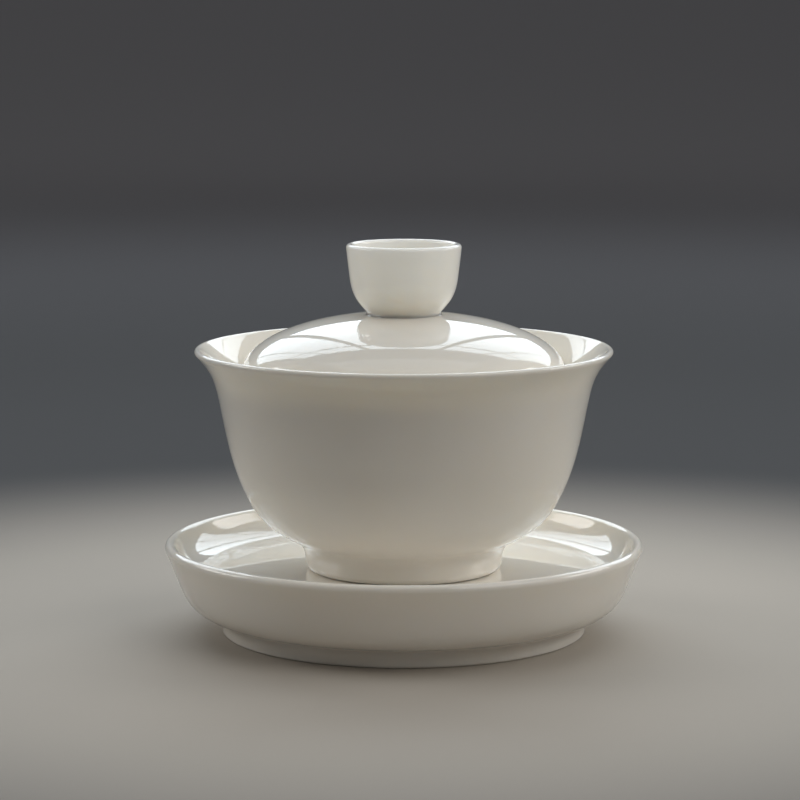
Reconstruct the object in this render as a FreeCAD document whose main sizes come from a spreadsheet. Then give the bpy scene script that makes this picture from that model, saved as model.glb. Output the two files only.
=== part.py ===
import FreeCAD, Part
import os
import Sketcher

# Gaiwan: a lidded porcelain tea bowl on a saucer. Millimetres, +Z up, the origin at the
# centre of the circle on which the saucer's foot ring stands. Every piece is thrown round
# the Z axis, so each is one outline of radius and height, turned about that axis.

# Driving dimensions. A radius is measured from the axis. Heights of the saucer are above
# the table, those of the bowl above its own foot, those of the lid above its own rim, and
# those of the knob above the flat on which it is luted.
SIZES = {
    # Saucer
    "saucer_foot_radius": 42.35,
    "saucer_foot_width": 2.4,
    "saucer_foot_round": 0.65,
    "saucer_foot_height": 4.2,
    "saucer_foot_lean": 0.2,
    "saucer_recess_height": 10.4,
    "saucer_recess_blend": 3.6,
    "saucer_floor_height": 14.6,
    "saucer_floor_radius": 41.5,
    "saucer_floor_blend": 8.4,
    "saucer_belly_radius": 49.4,
    "saucer_belly_height": 4.9,
    "saucer_wall_radius": 52.9,
    "saucer_wall_height": 10.5,
    "saucer_lip_radius": 55.05,
    "saucer_lip_height": 20.27,
    "saucer_lip_round": 1.22,
    "saucer_lip_lean": 24,
    "saucer_lip_blend": 4.2,
    # Bowl
    "bowl_seat_gap": 0.05,
    "bowl_foot_radius": 21.3,
    "bowl_foot_width": 1.3,
    "bowl_foot_round": 0.5,
    "bowl_foot_side_round": 1.85,
    "bowl_foot_height": 6.2,
    "bowl_foot_lean": 0.5,
    "bowl_recess_height": 3.6,
    "bowl_recess_blend": 1.8,
    "bowl_belly_radius": 32.2,
    "bowl_belly_height": 9.8,
    "bowl_shoulder_radius": 37.1,
    "bowl_shoulder_height": 16.6,
    "bowl_wall_radius": 41.3,
    "bowl_wall_height": 28.4,
    "bowl_throat_radius": 43.5,
    "bowl_throat_height": 42.2,
    "bowl_lip_radius": 48.26,
    "bowl_lip_height": 51.74,
    "bowl_lip_round": 0.74,
    "bowl_lip_lean": 45,
    "bowl_lip_blend": 5.0,
    "bowl_wall_thickness": 2.4,
    "bowl_inside_belly_radius": 28.6,
    "bowl_inside_belly_height": 11.0,
    "bowl_floor_height": 7.2,
    "bowl_floor_radius": 14,
    # Lid
    "lid_seat_height": 43.4,
    "lid_dome_radius": 37.8,
    "lid_dome_foot": 3.7,
    "lid_dome_height": 17.3,
    "lid_side_lead": 6.4,
    "lid_crown_lead": 17.3,
    "lid_crown_drop": 1.4,
    "lid_pad_radius": 8.3,
    "lid_pad_drop": 0.35,
    "lid_thickness": 2.3,
    "lid_ceiling_lead": 19.5,
    "lid_rim_radius": 41.35,
    "lid_rim_round": 0.75,
    "lid_rim_shelf": 2.8,
    # Knob
    "knob_waist_radius": 10.7,
    "knob_waist_height": 2.6,
    "knob_belly_radius": 12.4,
    "knob_belly_height": 5.8,
    "knob_side_radius": 12.9,
    "knob_side_height": 10.5,
    "knob_lip_radius": 12.68,
    "knob_lip_height": 15.68,
    "knob_lip_round": 0.82,
    "knob_lip_lean": 6,
    "knob_lip_blend": 2.5,
    "knob_floor_height": 2.7,
    "knob_floor_radius": 6.5,
}

# A coordinate nearer to zero than this lies on the axis or on the piece's own zero.
ON_AXIS = 1e-9

# The height of each piece's own zero above the table, as expressions in those names.
BOWL_BASE = "Sizes.saucer_floor_height + Sizes.bowl_seat_gap"
LID_BASE = f"{BOWL_BASE} + Sizes.lid_seat_height"
KNOB_BASE = f"{LID_BASE} + Sizes.lid_dome_height - Sizes.lid_pad_drop"


def make_sheet(doc):
    """Puts the driving dimensions into the document's sheet, one alias to a row."""
    sheet = doc.addObject("Spreadsheet::Sheet", "Sizes")
    for row, (name, size) in enumerate(SIZES.items(), 1):
        sheet.set(f"A{row}", name)
        sheet.set(f"B{row}", str(size))
        sheet.setAlias(f"B{row}", name)
    doc.recompute()
    return sheet


class Outline:
    """Half of a turned piece's section: radius to the right, height upwards.

    The outline runs anticlockwise, with the clay on its left, and starts and ends on the
    axis. Every point is a pair of expressions in the sheet's names, and is bound to them.
    """

    def __init__(self, doc, node):
        self.body = doc.addObject("PartDesign::Body", node)
        self.body.Label = node
        self.sketch = self.body.newObject("Sketcher::SketchObject", node + "_section")
        planes = self.body.Origin.OriginFeatures
        upright = next(plane for plane in planes if plane.Role == "XZ_Plane")
        self.sketch.AttachmentSupport = (upright, "")
        self.sketch.MapMode = "FlatFace"
        self.place = None
        self.joint = None
        self.first_joint = None

    def value(self, expression):
        return float(self.sketch.evalExpression(expression))

    def vector(self, point):
        return FreeCAD.Vector(self.value(point[0]), self.value(point[1]), 0)

    def constrain(self, *parts):
        return self.sketch.addConstraint(Sketcher.Constraint(*parts))

    def bind(self, geometry, end, point, kinds=("DistanceX", "DistanceY")):
        """Holds one end of a geometry at the point, on the axis itself where it is zero."""
        axes = {"DistanceX": (-2, point[0]), "DistanceY": (-1, point[1])}
        for kind in kinds:
            axis, expression = axes[kind]
            value = self.value(expression)
            if abs(value) < ON_AXIS:
                self.constrain("PointOnObject", geometry, end, axis)
            else:
                index = self.constrain(kind, -1, 1, geometry, end, value)
                self.sketch.setExpression(f"Constraints[{index}]", expression)

    def join(self, geometry, point):
        """Ties the new geometry's start to the end of the one before it."""
        if self.joint is None:
            self.first_joint = (geometry, 1)
            self.bind(geometry, 1, self.start_point)
        else:
            self.constrain("Coincident", *self.joint, geometry, 1)
        self.joint = (geometry, 2)
        self.place = point

    def start(self, *point):
        self.start_point = point
        self.place = point

    def line_to(self, *point):
        line = Part.LineSegment(self.vector(self.place), self.vector(point))
        geometry = self.sketch.addGeometry(line)
        self.join(geometry, point)
        self.bind(geometry, 2, point)

    def round_to(self, point, centre):
        """An outward round about the centre; it ends where it meets the point."""
        middle = self.vector(centre)
        leg_in = self.vector(self.place) - middle
        leg_out = self.vector(point) - middle
        turn_in = FreeCAD.Vector(1, 0, 0).getAngle(leg_in)
        turn_out = FreeCAD.Vector(1, 0, 0).getAngle(leg_out)
        turn_in = -turn_in if leg_in.y < 0 else turn_in
        turn_out = -turn_out if leg_out.y < 0 else turn_out
        circle = Part.Circle(middle, FreeCAD.Vector(0, 0, 1), leg_in.Length)
        geometry = self.sketch.addGeometry(Part.ArcOfCircle(circle, turn_in, turn_out))
        self.join(geometry, point)
        self.bind(geometry, 3, centre)
        level = abs(leg_out.x) > abs(leg_out.y)
        self.bind(geometry, 2, point, ("DistanceY",) if level else ("DistanceX",))

    def curve_to(self, *points):
        """A smooth curve to the last point, drawn towards the points before it."""
        poles = [self.vector(self.place)] + [self.vector(point) for point in points]
        degree = min(3, len(poles) - 1)
        spline = Part.BSplineCurve(poles, None, None, False, degree, None, False)
        geometry = self.sketch.addGeometry(spline)
        self.join(geometry, points[-1])
        self.sketch.exposeInternalGeometry(geometry)
        for number, point in enumerate(points[:-1], 2):
            self.bind(geometry + number, 3, point)
        self.bind(geometry, 2, points[-1])

    def turn(self, base):
        """Closes the outline along the axis, turns it and stands it at its base height."""
        line = Part.LineSegment(self.vector(self.place), self.vector(self.start_point))
        geometry = self.sketch.addGeometry(line)
        self.constrain("Coincident", *self.joint, geometry, 1)
        self.constrain("Coincident", geometry, 2, *self.first_joint)
        turned = self.body.newObject("PartDesign::Revolution", self.body.Label + "_turned")
        turned.Profile = self.sketch
        turned.ReferenceAxis = (self.sketch, ["V_Axis"])
        turned.Angle = 360
        self.body.setExpression("Placement.Base.z", base)
        return self.body


def lip(piece, side, blended=False):
    """The end of a lip's inner (-1) or outer (+1) side, or the pole below it on the wall."""
    lean = f"Sizes.{piece}_lip_lean"
    radius = f"Sizes.{piece}_lip_radius + ({side}) * Sizes.{piece}_lip_round * cos({lean})"
    height = f"Sizes.{piece}_lip_height - ({side}) * Sizes.{piece}_lip_round * sin({lean})"
    if blended:
        radius += f" - Sizes.{piece}_lip_blend * sin({lean})"
        height += f" - Sizes.{piece}_lip_blend * cos({lean})"
    return radius, height


def lip_centre(piece):
    return f"Sizes.{piece}_lip_radius", f"Sizes.{piece}_lip_height"


def foot_inside(outline, piece):
    """The hollow inside a foot ring, from its ceiling at the axis to the flat of the ring."""
    inner = f"Sizes.{piece}_foot_radius - Sizes.{piece}_foot_width"
    wall = f"{inner} - Sizes.{piece}_foot_round"
    ceiling = f"Sizes.{piece}_recess_height"
    blend = f"Sizes.{piece}_recess_blend"
    outline.start("0", ceiling)
    outline.line_to(f"{wall} - {blend}", ceiling)
    outline.curve_to((wall, ceiling), (wall, f"{ceiling} - {blend}"))
    outline.line_to(wall, f"Sizes.{piece}_foot_round")
    outline.round_to((inner, "0"), (inner, f"Sizes.{piece}_foot_round"))
    outline.line_to(f"Sizes.{piece}_foot_radius", "0")


def make_saucer(doc):
    """The dish: foot ring, full side wall, thick rolled lip and a flat floor inside."""
    outline = Outline(doc, "saucer")
    foot_inside(outline, "saucer")
    foot_side = "Sizes.saucer_foot_radius + Sizes.saucer_foot_round"
    outline.round_to((foot_side, "Sizes.saucer_foot_round"),
                     ("Sizes.saucer_foot_radius", "Sizes.saucer_foot_round"))
    outline.line_to(f"{foot_side} + Sizes.saucer_foot_lean", "Sizes.saucer_foot_height")
    outline.curve_to(("Sizes.saucer_belly_radius", "Sizes.saucer_belly_height"),
                     ("Sizes.saucer_wall_radius", "Sizes.saucer_wall_height"),
                     lip("saucer", 1, blended=True),
                     lip("saucer", 1))
    outline.round_to(lip("saucer", -1), lip_centre("saucer"))
    outline.curve_to(lip("saucer", -1, blended=True),
                     ("Sizes.saucer_floor_radius + Sizes.saucer_floor_blend",
                      "Sizes.saucer_floor_height"),
                     ("Sizes.saucer_floor_radius", "Sizes.saucer_floor_height"))
    outline.line_to("0", "Sizes.saucer_floor_height")
    return outline.turn("0")


def make_bowl(doc):
    """The tea bowl: rounded foot ring, full belly, steep wall and a flared lip."""
    outline = Outline(doc, "bowl")
    foot_inside(outline, "bowl")
    foot_side = "Sizes.bowl_foot_radius + Sizes.bowl_foot_side_round"
    outline.round_to((foot_side, "Sizes.bowl_foot_side_round"),
                     ("Sizes.bowl_foot_radius", "Sizes.bowl_foot_side_round"))
    outline.line_to(f"{foot_side} + Sizes.bowl_foot_lean", "Sizes.bowl_foot_height")
    outline.curve_to(("Sizes.bowl_belly_radius", "Sizes.bowl_belly_height"),
                     ("Sizes.bowl_shoulder_radius", "Sizes.bowl_shoulder_height"),
                     ("Sizes.bowl_wall_radius", "Sizes.bowl_wall_height"),
                     ("Sizes.bowl_throat_radius", "Sizes.bowl_throat_height"),
                     lip("bowl", 1, blended=True),
                     lip("bowl", 1))
    outline.round_to(lip("bowl", -1), lip_centre("bowl"))
    thickness = "Sizes.bowl_wall_thickness"
    outline.curve_to(lip("bowl", -1, blended=True),
                     (f"Sizes.bowl_throat_radius - {thickness}", "Sizes.bowl_throat_height"),
                     (f"Sizes.bowl_wall_radius - {thickness}", "Sizes.bowl_wall_height"),
                     (f"Sizes.bowl_shoulder_radius - {thickness}",
                      "Sizes.bowl_shoulder_height"),
                     ("Sizes.bowl_inside_belly_radius", "Sizes.bowl_inside_belly_height"),
                     ("Sizes.bowl_floor_radius", "Sizes.bowl_floor_height"),
                     ("0", "Sizes.bowl_floor_height"))
    return outline.turn(BOWL_BASE)


def make_lid_dome(doc):
    """The lid's shell: a low dome whose rim turns out to rest inside the bowl's flare."""
    outline = Outline(doc, "lid_dome")
    side = "Sizes.lid_dome_radius"
    inner_side = "Sizes.lid_dome_radius - Sizes.lid_thickness"
    ceiling = "Sizes.lid_dome_height - Sizes.lid_thickness"
    shelf = "Sizes.lid_rim_radius - Sizes.lid_rim_shelf"
    rim_top = "2 * Sizes.lid_rim_round"
    outline.start("0", ceiling)
    outline.curve_to(("Sizes.lid_ceiling_lead", ceiling),
                     (inner_side, "Sizes.lid_dome_foot + Sizes.lid_side_lead"),
                     (inner_side, "Sizes.lid_dome_foot"))
    outline.curve_to((inner_side, "Sizes.lid_rim_round"),
                     (shelf, "0"),
                     ("Sizes.lid_rim_radius", "0"))
    outline.round_to(("Sizes.lid_rim_radius", rim_top),
                     ("Sizes.lid_rim_radius", "Sizes.lid_rim_round"))
    outline.curve_to((f"{side} + Sizes.lid_rim_round", rim_top),
                     (side, rim_top),
                     (side, "Sizes.lid_dome_foot"))
    pad = "Sizes.lid_pad_radius"
    pad_height = "Sizes.lid_dome_height - Sizes.lid_pad_drop"
    outline.curve_to((side, "Sizes.lid_dome_foot + Sizes.lid_side_lead"),
                     (f"{pad} + Sizes.lid_crown_lead", f"{pad_height} - Sizes.lid_crown_drop"),
                     (pad, pad_height))
    outline.line_to("0", pad_height)
    return outline.turn(LID_BASE)


def make_lid_knob(doc):
    """The knob: a small hollow cup, open at the top, luted to the flat of the dome."""
    outline = Outline(doc, "lid_knob")
    outline.start("0", "0")
    outline.line_to("Sizes.lid_pad_radius", "0")
    outline.curve_to(("Sizes.knob_waist_radius", "Sizes.knob_waist_height"),
                     ("Sizes.knob_belly_radius", "Sizes.knob_belly_height"),
                     ("Sizes.knob_side_radius", "Sizes.knob_side_height"),
                     lip("knob", 1, blended=True),
                     lip("knob", 1))
    outline.round_to(lip("knob", -1), lip_centre("knob"))
    thickness = "2 * Sizes.knob_lip_round"
    outline.curve_to(lip("knob", -1, blended=True),
                     (f"Sizes.knob_side_radius - {thickness}", "Sizes.knob_side_height"),
                     (f"Sizes.knob_belly_radius - {thickness}", "Sizes.knob_belly_height"),
                     ("Sizes.knob_floor_radius", "Sizes.knob_floor_height"),
                     ("0", "Sizes.knob_floor_height"))
    return outline.turn(KNOB_BASE)


def check(doc, bodies):
    """Stops if any object of the document failed or any piece isn't one sound solid."""
    for thing in doc.Objects:
        if "Invalid" in thing.State or "Error" in thing.State:
            raise RuntimeError(f"{thing.Label} failed: {thing.State}")
    for body in bodies:
        shape = body.Shape
        if shape.isNull() or not shape.isValid() or len(shape.Solids) != 1:
            raise RuntimeError(f"{body.Label} isn't one valid solid")


def main():
    doc = FreeCAD.newDocument("gaiwan")
    make_sheet(doc)
    bodies = [make_saucer(doc), make_bowl(doc), make_lid_dome(doc), make_lid_knob(doc)]
    doc.recompute()
    check(doc, bodies)
    os.makedirs("parts", exist_ok=True)
    for body in bodies:
        body.Shape.exportStep(f"parts/{body.Label}.step")
        box = body.Shape.optimalBoundingBox(True, False)
        print(f"{body.Label}: radius {box.XMax:.2f}, height {box.ZMin:.2f} to {box.ZMax:.2f},"
              f" volume {body.Shape.Volume / 1000:.2f} cm3")


main()
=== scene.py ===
import math

import bmesh
import bpy
import numpy as np
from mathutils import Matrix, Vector


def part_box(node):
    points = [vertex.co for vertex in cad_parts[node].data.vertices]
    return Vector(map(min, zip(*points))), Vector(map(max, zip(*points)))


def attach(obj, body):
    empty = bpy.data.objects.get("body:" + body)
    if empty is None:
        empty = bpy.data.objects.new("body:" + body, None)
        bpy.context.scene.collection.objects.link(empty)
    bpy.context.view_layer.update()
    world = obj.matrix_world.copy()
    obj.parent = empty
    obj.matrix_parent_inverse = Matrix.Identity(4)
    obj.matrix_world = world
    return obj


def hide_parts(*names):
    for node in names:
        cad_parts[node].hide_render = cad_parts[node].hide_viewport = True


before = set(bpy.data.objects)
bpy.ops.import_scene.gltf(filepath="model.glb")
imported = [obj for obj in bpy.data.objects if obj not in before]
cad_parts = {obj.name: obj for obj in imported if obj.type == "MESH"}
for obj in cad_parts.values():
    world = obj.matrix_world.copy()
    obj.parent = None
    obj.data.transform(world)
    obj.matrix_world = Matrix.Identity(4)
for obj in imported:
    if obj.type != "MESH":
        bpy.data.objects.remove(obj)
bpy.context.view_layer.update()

# A porcelain gaiwan: saucer, bowl and lid. Outlines and names that end in _MM are in
# millimetres, and everything else is in metres. An outline's points are (radius, height),
# with the height measured from the piece's own base.
MM = 0.001
ON_AXIS_MM = 1e-6

# How finely each turned piece is meshed.
SEGMENTS = 224
STEP_MM = 1.7
TURN_DEGREES = 5.5
OUTLINE_STEP_MM = 0.05
FEWEST_STEPS = 8
LIP_POINTS = 60

# Glaze rounds a corner over this length, which is divided into that many samples.
GLAZE_SOFTENING_MM = 0.16
SOFTENING_SAMPLES = 4

# Where the glaze pools: above each foot ring, and where the knob meets the dome.
# Each is a radius and a height above the base.
SAUCER_POOL_MM = (43.3, 4.3)
BOWL_POOL_MM = (23.8, 6.3)
KNOB_POOL_MM = (8.6, 0)

# Inner and outer radius of the bare clay under each foot ring.
SAUCER_BARE_RING_MM = (39.8, 42.6)
BOWL_BARE_RING_MM = (19.8, 21.6)
BARE_DEPTH_MM = 0.1

# The share of light that sinks into the clay, and how deep. The thin knob glows most.
GLOW, GLOW_DEPTH_MM = 0.4, 2.0
KNOB_GLOW, KNOB_GLOW_DEPTH_MM = 0.85, 5.0

# Lamps, in watts for each square metre of lamp, and the strength of the room's own light.
WINDOW_WATTS = 9.5
FILL_WATTS = 6
SIDE_WATTS = 13
OVERHEAD_WATTS = 2.2
ROOM_STRENGTH = 0.13


# ---------------------------------------------------------------- outlines

def spline(poles, spacing=OUTLINE_STEP_MM):
    """Points along a clamped cubic B-spline drawn towards its poles."""
    poles = np.asarray(poles, float)
    degree = min(3, len(poles) - 1)
    inner = np.linspace(0, 1, len(poles) - degree + 1)
    knots = np.concatenate([[0] * degree, inner, [1] * degree])
    length = np.linalg.norm(np.diff(poles, axis=0), axis=1).sum()
    points = []
    for u in np.linspace(0, 1, max(FEWEST_STEPS, int(length / spacing)))[:-1]:
        span = min(int(np.searchsorted(knots, u, side="right")) - 1, len(poles) - 1)
        ring = [poles[span - degree + k].copy() for k in range(degree + 1)]
        for level in range(1, degree + 1):
            for k in range(degree, level - 1, -1):
                low = knots[span - degree + k]
                high = knots[span + k + 1 - level]
                share = (u - low) / (high - low)
                ring[k] = (1 - share) * ring[k - 1] + share * ring[k]
        points.append(ring[degree])
    points.append(poles[-1])
    return np.array(points)


class Outline:
    """Half a section, from the axis underneath round to the axis on top."""

    def __init__(self, radius, height):
        self.points = np.array([[radius, height]], float)

    def add(self, points):
        self.points = np.vstack([self.points, points[1:]])

    def line(self, radius, height):
        self.add(spline([self.points[-1], (radius, height)]))

    def curve(self, *poles):
        self.add(spline([self.points[-1], *poles]))

    def roll(self, centre, lean):
        """Rolls over the top, from a wall that leans outward to that wall's inner side."""
        size = np.linalg.norm(self.points[-1] - centre)
        turns = np.radians(np.linspace(-lean, 180 - lean, LIP_POINTS))
        self.add(centre + size * np.stack([np.cos(turns), np.sin(turns)], axis=1))

    def fill(self, corner, reach):
        """Fills a hollow corner with glaze, from that far before it to as far beyond it."""
        near = np.flatnonzero(np.linalg.norm(self.points - corner, axis=1) < reach)
        before, after = self.points[near[0] - 1], self.points[near[-1] + 1]
        filled = spline([before, corner, after])
        self.points = np.vstack([self.points[:near[0]], filled[1:-1],
                                 self.points[near[-1] + 1:]])

    def softened(self):
        """Even points on the outline, with every corner filled and rounded as glaze does.

        The outline is mirrored beyond each end, so that it crosses the axis level.
        """
        steps = np.linalg.norm(np.diff(self.points, axis=0), axis=1)
        along = np.concatenate([[0], np.cumsum(steps)])
        even = np.arange(0, along[-1], GLAZE_SOFTENING_MM / SOFTENING_SAMPLES)
        line = np.stack([np.interp(even, along, self.points[:, i]) for i in (0, 1)], axis=1)
        reach = 4 * SOFTENING_SAMPLES
        offsets = np.arange(-reach, reach + 1) / SOFTENING_SAMPLES
        weights = np.exp(-0.5 * offsets ** 2)
        weights /= weights.sum()
        before = line[1:reach + 1][::-1] * (-1, 1)
        after = line[-reach - 1:-1][::-1] * (-1, 1)
        padded = np.vstack([before, line, after])
        smooth = np.stack([np.convolve(padded[:, i], weights, "valid") for i in (0, 1)], axis=1)
        smooth[0, 0] = smooth[-1, 0] = 0
        return smooth

    def sampled(self):
        """Few points where the outline is straight, and many where it turns."""
        line = self.softened()
        legs = np.diff(line, axis=0)
        steps = np.linalg.norm(legs, axis=1)
        turns = np.abs(np.diff(np.unwrap(np.arctan2(legs[:, 1], legs[:, 0]))))
        turns = np.concatenate([[0], turns])
        effort = np.cumsum(steps / STEP_MM + np.degrees(turns) / TURN_DEGREES)
        effort = np.concatenate([[0], effort])
        count = int(effort[-1]) + 2
        chosen = np.interp(np.linspace(0, effort[-1], count), effort, np.arange(len(line)))
        return np.stack([np.interp(chosen, np.arange(len(line)), line[:, i]) for i in (0, 1)],
                        axis=1)


def lathe(name, section, base=0.0, segments=SEGMENTS):
    """Turns a section about the Z axis into one smooth mesh object, from that base up."""
    turn = np.linspace(0, 2 * math.pi, segments, endpoint=False)
    ring_x, ring_y = np.cos(turn), np.sin(turn)
    mesh = bmesh.new()
    rings = []
    for radius, height in section:
        z = base + height * MM
        if radius < ON_AXIS_MM:
            rings.append([mesh.verts.new((0, 0, z))])
        else:
            rings.append([mesh.verts.new((radius * MM * x, radius * MM * y, z))
                          for x, y in zip(ring_x, ring_y)])
    for low, high in zip(rings, rings[1:]):
        for i in range(segments):
            j = (i + 1) % segments
            corners = [low[i % len(low)], low[j % len(low)],
                       high[j % len(high)], high[i % len(high)]]
            face = mesh.faces.new(list(dict.fromkeys(corners)))
            face.smooth = True
    bmesh.ops.recalc_face_normals(mesh, faces=mesh.faces)
    data = bpy.data.meshes.new(name)
    mesh.to_mesh(data)
    mesh.free()
    piece = bpy.data.objects.new(name, data)
    bpy.context.scene.collection.objects.link(piece)
    return piece


def measure(node):
    """A CAD node's base height in metres, and its rim radius and height in millimetres."""
    low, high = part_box(node)
    return low.z, high.x / MM, (high.z - low.z) / MM


class Lip:
    """A round lip on a wall that leans outward, with the poles that lead into its sides."""

    def __init__(self, rim, top, size, lean, blend):
        angle = math.radians(lean)
        way = np.array([math.sin(angle), math.cos(angle)])
        self.lean = lean
        self.centre = np.array([rim - size, top - size])
        end = self.centre + size * np.array([math.cos(angle), -math.sin(angle)])
        self.outer = (end - blend * way, end)
        self.inner = 2 * self.centre - end - blend * way


def foot_ring(underside, recess, corner, edge, flat):
    """The recess under a piece, and its foot ring as far as the flat's outer edge."""
    outline = Outline(0, underside)
    outline.line(recess - corner, underside)
    outline.curve((recess, underside), (recess, underside - corner))
    outline.line(recess, edge)
    lead = 0.4 * edge
    outline.curve((recess, lead), (recess + lead, 0), (recess + edge, 0))
    outline.line(flat, 0)
    return outline


def inside(wall, thickness):
    """The poles of a wall's inner side, from the top down."""
    return [(radius - thickness, height) for radius, height in reversed(wall)]


# ---------------------------------------------------------------- pieces

def make_saucer():
    """A shallow dish with a steep side wall, on a wide foot ring."""
    base, rim, top = measure("saucer")
    lip = Lip(rim, top, size=1.22, lean=24, blend=4.2)
    foot_side, crease = 43.0, (43.2, 4.2)
    belly, wall = (49.4, 4.9), (52.9, 10.5)
    floor, floor_edge, inner_wall = 14.6, 41.5, 49.9
    outline = foot_ring(underside=10.4, recess=39.3, corner=3.6, edge=0.65, flat=42.35)
    outline.curve((42.75, 0), (foot_side, 0.3), (foot_side, 0.7))
    outline.line(*crease)
    outline.curve(belly, wall, *lip.outer)
    outline.fill(crease, reach=2.6)
    outline.roll(lip.centre, lip.lean)
    outline.curve(lip.inner, (inner_wall, floor), (floor_edge, floor))
    outline.line(0, floor)
    return lathe("saucer_porcelain", outline.sampled(), base)


def make_bowl():
    """A deep bowl that flares to a thin lip, on a narrow foot ring."""
    base, rim, top = measure("bowl")
    lip = Lip(rim, top, size=0.74, lean=45, blend=5)
    foot_side, crease = 23.15, (23.65, 6.2)
    belly, wall, thickness = (32.2, 9.8), [(37.1, 16.6), (41.3, 28.4), (43.5, 42.2)], 2.4
    floor, floor_edge, inner_belly = 7.2, 14, (28.6, 11.0)
    outline = foot_ring(underside=3.6, recess=19.5, corner=1.8, edge=0.5, flat=21.3)
    outline.curve((22.3, 0), (foot_side, 0.8), (foot_side, 1.85))
    outline.line(*crease)
    outline.curve(belly, *wall, *lip.outer)
    outline.fill(crease, reach=2.8)
    outline.roll(lip.centre, lip.lean)
    outline.curve(lip.inner, *inside(wall, thickness), inner_belly, (floor_edge, floor),
                  (0, floor))
    return lathe("bowl_porcelain", outline.sampled(), base)


def make_lid_dome():
    """The domed shell, whose rim turns out into a flange with a round edge."""
    base, rim, top = measure("lid_dome")
    side, thickness, edge = 37.8, 2.3, 0.75
    wall_foot, shoulder, crown, knob_seat = 3.7, 10.1, (25.6, top - 1.4), 8.3
    ceiling, ceiling_edge, inner_side = 15.0, 19.5, side - thickness
    outline = Outline(0, ceiling)
    outline.curve((ceiling_edge, ceiling), (inner_side, shoulder), (inner_side, wall_foot))
    outline.curve((inner_side, edge), (rim - edge - 2.8, 0), (rim - edge, 0))
    outline.roll((rim - edge, edge), 90)
    outline.curve((side + edge, 2 * edge), (side, 2 * edge), (side, wall_foot))
    outline.curve((side, shoulder), crown, (knob_seat, top))
    outline.line(0, top)
    return lathe("lid_dome_porcelain", outline.sampled(), base)


def make_lid_knob():
    """The cup-shaped knob, with the fillet of glaze that fills its corner with the dome."""
    base, rim, top = measure("lid_knob")
    lip = Lip(rim, top, size=0.82, lean=6, blend=2.5)
    fillet, sunk = 9.1, -0.1
    waist = [(8.5, 0.05), (8.6, 0.6), (10.75, 2.7)]
    cup, thickness = [(12.4, 5.8), (12.9, 10.5)], 1.64
    floor, floor_edge = 2.7, 6.5
    outline = Outline(0, sunk)
    outline.line(fillet, sunk)
    outline.curve(*waist, *cup, *lip.outer)
    outline.roll(lip.centre, lip.lean)
    outline.curve(lip.inner, *inside(cup, thickness), (floor_edge, floor), (0, floor))
    return lathe("lid_knob_porcelain", outline.sampled(), base)


# ---------------------------------------------------------------- materials

class Nodes:
    """Short ways to add and join shader nodes in one material."""

    def __init__(self, name):
        self.material = bpy.data.materials.new(name)
        self.material.use_nodes = True
        self.tree = self.material.node_tree
        self.shader = self.tree.nodes["Principled BSDF"]

    def add(self, kind, **settings):
        node = self.tree.nodes.new(kind)
        for name, value in settings.items():
            setattr(node, name, value)
        return node

    def join(self, output, target):
        self.tree.links.new(output, target)

    def place(self):
        return self.add("ShaderNodeTexCoord").outputs["Object"]

    def maths(self, operation, *values):
        node = self.add("ShaderNodeMath", operation=operation)
        for socket, value in zip(node.inputs, values):
            if isinstance(value, (int, float)):
                socket.default_value = value
            else:
                self.join(value, socket)
        return node.outputs[0]

    def hypotenuse(self, first, second):
        """The long side of the right triangle with those two sides."""
        squares = [self.maths("POWER", side, 2) for side in (first, second)]
        return self.maths("POWER", self.maths("ADD", *squares), 0.5)

    def noise(self, per_metre, detail):
        """Noise with about that many blotches to the metre."""
        node = self.add("ShaderNodeTexNoise")
        node.inputs["Scale"].default_value = per_metre
        node.inputs["Detail"].default_value = detail
        self.join(self.place(), node.inputs["Vector"])
        return node.outputs["Fac"]

    def spread(self, value, low, high, to_low=0.0, to_high=1.0):
        """Maps low..high onto to_low..to_high, easing in and out."""
        node = self.add("ShaderNodeMapRange", interpolation_type="SMOOTHSTEP")
        for socket, number in zip(list(node.inputs)[1:5], (low, high, to_low, to_high)):
            socket.default_value = number
        self.join(value, node.inputs[0])
        return node.outputs[0]

    def mix(self, share, first, second):
        """Mixes two colours. A mix node's colours are its inputs 6 and 7 and its output 2."""
        node = self.add("ShaderNodeMix", data_type="RGBA")
        self.join(share, node.inputs["Factor"])
        for socket, value in ((node.inputs[6], first), (node.inputs[7], second)):
            if isinstance(value, tuple):
                socket.default_value = (*value, 1)
            else:
                self.join(value, socket)
        return node.outputs[2]

    def bump(self, height, distance, strength=1.0):
        """Makes the surface rise and fall with that height, by up to that distance."""
        node = self.add("ShaderNodeBump")
        node.inputs["Strength"].default_value = strength
        node.inputs["Distance"].default_value = distance
        self.join(height, node.inputs["Height"])
        self.join(node.outputs[0], self.shader.inputs["Normal"])

    def colour(self, output):
        self.join(output, self.shader.inputs["Base Color"])

    def set(self, **values):
        for name, value in values.items():
            self.shader.inputs[name.replace("_", " ")].default_value = value


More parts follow.
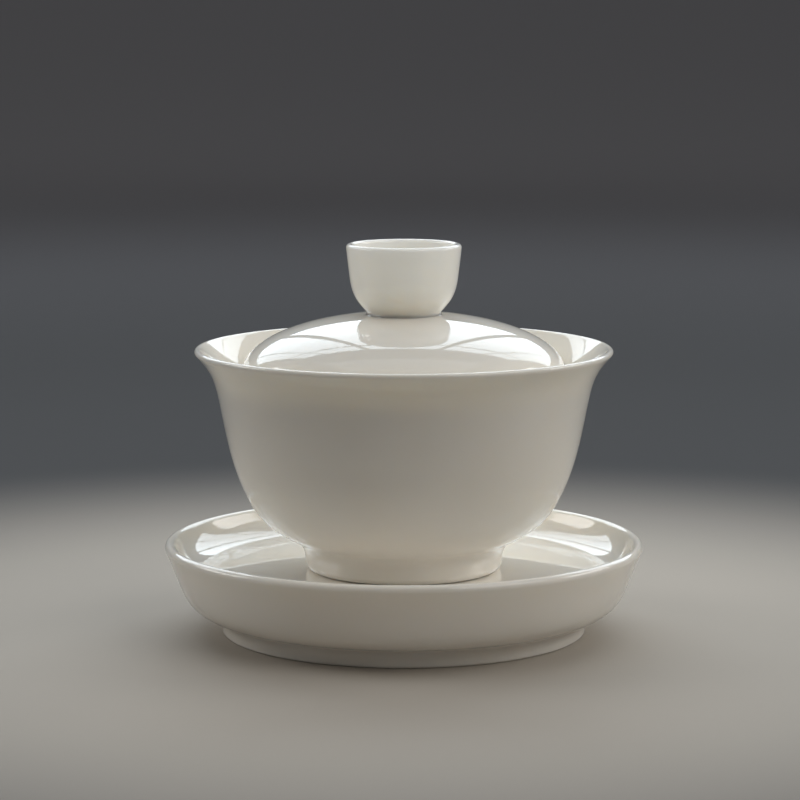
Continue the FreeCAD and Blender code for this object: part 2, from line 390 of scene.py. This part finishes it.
def glaze(name, pool_MM, base, glow=GLOW, glow_depth_MM=GLOW_DEPTH_MM):
    """Ivory porcelain under a clear gloss glaze, which pools in a ring above that base."""
    ivory, pale_ivory = (0.92, 0.876, 0.798), (0.93, 0.89, 0.822)
    pooled_glaze = (0.88, 0.85, 0.79)
    pool_core_MM, pool_edge_MM, pool_share = 0.4, 2.4, 0.4
    clouds_per_metre, ripples_per_metre, ripple_MM = 38, 95, 0.02
    nodes = Nodes(name)
    clouds = nodes.spread(nodes.noise(clouds_per_metre, 3), low=0.35, high=0.65)
    place = nodes.add("ShaderNodeSeparateXYZ")
    nodes.join(nodes.place(), place.inputs[0])
    across = nodes.hypotenuse(place.outputs["X"], place.outputs["Y"])
    out = nodes.maths("SUBTRACT", across, pool_MM[0] * MM)
    rise = nodes.maths("SUBTRACT", place.outputs["Z"], base + pool_MM[1] * MM)
    pooled = nodes.spread(nodes.hypotenuse(out, rise), pool_core_MM * MM, pool_edge_MM * MM,
                          pool_share, 0)
    nodes.colour(nodes.mix(pooled, nodes.mix(clouds, ivory, pale_ivory), pooled_glaze))
    nodes.bump(nodes.noise(ripples_per_metre, 1), ripple_MM * MM)
    nodes.set(Roughness=0.035, IOR=1.58, Subsurface_Weight=glow,
              Subsurface_Radius=(1.0, 0.92, 0.82), Subsurface_Scale=glow_depth_MM * MM)
    return nodes.material


def biscuit():
    """Bare fired porcelain on the flat of a foot ring, matt and a little gritty."""
    clay, stained_clay = (0.70, 0.64, 0.55), (0.60, 0.53, 0.44)
    stains_per_metre, grains_per_metre, grain_MM = 160, 2600, 0.05
    nodes = Nodes("bare_foot")
    stains = nodes.spread(nodes.noise(stains_per_metre, 3), low=0.4, high=0.65)
    nodes.colour(nodes.mix(stains, clay, stained_clay))
    nodes.bump(nodes.noise(grains_per_metre, 2), grain_MM * MM, strength=0.8)
    nodes.set(Roughness=0.85)
    return nodes.material


def bare_the_foot(piece, ring_MM, base, material):
    """Gives the flat under a foot ring its own bare material."""
    inner, outer = ring_MM
    piece.data.materials.append(material)
    for face in piece.data.polygons:
        radius = math.hypot(face.center.x, face.center.y) / MM
        if face.center.z < base + BARE_DEPTH_MM * MM and inner < radius < outer:
            face.material_index = 1


# ---------------------------------------------------------------- studio

def make_floor():
    """A round floor inside a low dark wall, painted pale round the gaiwan and dark further out:
    a painted pool of light, with painted shade beyond it.
    """
    level, bend, wall_foot, wall_top = (800, 0), (1150, 0), (1200, 60), (1200, 420)
    pale, dark, wall_grey = (0.45, 0.415, 0.37), (0.05, 0.05, 0.053), (0.13, 0.13, 0.14)
    section = spline([(0, 0), level, bend, wall_foot, wall_top], spacing=25)
    floor = lathe("floor", section, segments=128)
    nodes = Nodes("floor_with_painted_light_pool")
    distance = nodes.add("ShaderNodeVectorMath", operation="LENGTH")
    nodes.join(nodes.place(), distance.inputs[0])
    # Painted pool of light: the floor is pale within 0.09 m of the gaiwan and fades to
    # near-black painted shade by 0.26 m.
    near = nodes.spread(distance.outputs["Value"], low=0.09, high=0.26)
    far = nodes.spread(distance.outputs["Value"], low=0.45, high=1.20)
    nodes.colour(nodes.mix(far, nodes.mix(near, pale, dark), wall_grey))
    nodes.set(Roughness=0.8, Specular_IOR_Level=0.15)
    floor.data.materials.append(nodes.material)


def area_light(name, centre, width, height, toward, watts, colour):
    """A rectangular lamp that the camera doesn't see, turned to face a point."""
    lamp = bpy.data.lights.new(name, "AREA")
    lamp.shape = "RECTANGLE"
    lamp.size = width
    lamp.size_y = height
    lamp.energy = watts * width * height
    lamp.color = colour
    light = bpy.data.objects.new(name, lamp)
    light.location = centre
    facing = Vector(toward) - Vector(centre)
    light.rotation_euler = facing.to_track_quat("-Z", "Y").to_euler()
    light.visible_camera = False
    bpy.context.scene.collection.objects.link(light)


def make_window():
    """Tall window panes behind the gaiwan; the gaps between them are the glazing bars."""
    distance, bar, aim = 1.6, 0.06, -10
    columns = (-1.45, -0.95, -0.37, 0.37, 0.95, 1.6)
    rows = (0.50, 1.85, 2.35)
    daylight = (0.84, 0.93, 1.0)
    for i, (left, right) in enumerate(zip(columns, columns[1:])):
        for k, (low, high) in enumerate(zip(rows, rows[1:])):
            middle = (low + high) / 2
            area_light(f"pane_{i}_{k}", ((left + right) / 2, distance, middle),
                       right - left - bar, high - low - bar, (0, aim, middle),
                       WINDOW_WATTS, daylight)


def make_lights():
    """The window, soft lamps at the right front, both sides and overhead, and a dim room."""
    make_window()
    area_light("front_fill", centre=(1.2, -0.9, 1.325), width=1.562, height=1.15,
               toward=(0, 0, 1.325), watts=FILL_WATTS, colour=(1.0, 0.96, 0.90))
    for side in (-1, 1):
        area_light(f"side_{side}", centre=(1.6 * side, 0.45, 0.71), width=1.1, height=0.98,
                   toward=(0, 0.45, 0.71), watts=SIDE_WATTS, colour=(1.0, 0.985, 0.96))
    area_light("overhead", centre=(0, -0.1, 1.6), width=1.6, height=1.2,
               toward=(0, -0.1, 0), watts=OVERHEAD_WATTS, colour=(0.93, 0.97, 1.0))
    world = bpy.data.worlds.new("room")
    world.use_nodes = True
    sky = world.node_tree.nodes["Background"]
    sky.inputs["Color"].default_value = (1.0, 0.97, 0.93, 1)
    sky.inputs["Strength"].default_value = ROOM_STRENGTH
    bpy.context.scene.world = world


def make_camera():
    """Seen from a little above, far enough off for the long lens of a product shot."""
    downward_degrees = 7.97
    camera = bpy.data.cameras.new("camera")
    camera.lens = 137.6
    camera.sensor_width = 36
    seat = bpy.data.objects.new("camera", camera)
    seat.location = (-0.0009, -0.711, 0.1542)
    seat.rotation_euler = (math.radians(90 - downward_degrees), 0, 0)
    bpy.context.scene.collection.objects.link(seat)
    bpy.context.scene.camera = seat


def dress(piece, node, body, material):
    """Glazes a piece and puts it in its CAD node's place, on the body that carries it."""
    piece.data.materials.append(material)
    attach(piece, body)
    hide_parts(node)


def main():
    saucer, bowl, dome, knob = make_saucer(), make_bowl(), make_lid_dome(), make_lid_knob()
    base = {name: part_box(name)[0].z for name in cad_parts}
    dress(saucer, "saucer", "saucer", glaze("saucer_glaze", SAUCER_POOL_MM, base["saucer"]))
    dress(bowl, "bowl", "bowl", glaze("bowl_glaze", BOWL_POOL_MM, base["bowl"]))
    dress(dome, "lid_dome", "lid", glaze("dome_glaze", KNOB_POOL_MM, base["lid_knob"]))
    dress(knob, "lid_knob", "lid", glaze("knob_glaze", KNOB_POOL_MM, base["lid_knob"],
                                         KNOB_GLOW, KNOB_GLOW_DEPTH_MM))
    bare = biscuit()
    bare_the_foot(saucer, SAUCER_BARE_RING_MM, base["saucer"], bare)
    bare_the_foot(bowl, BOWL_BARE_RING_MM, base["bowl"], bare)
    make_floor()
    make_lights()
    make_camera()
    bpy.context.scene.view_settings.view_transform = "Standard"


main()
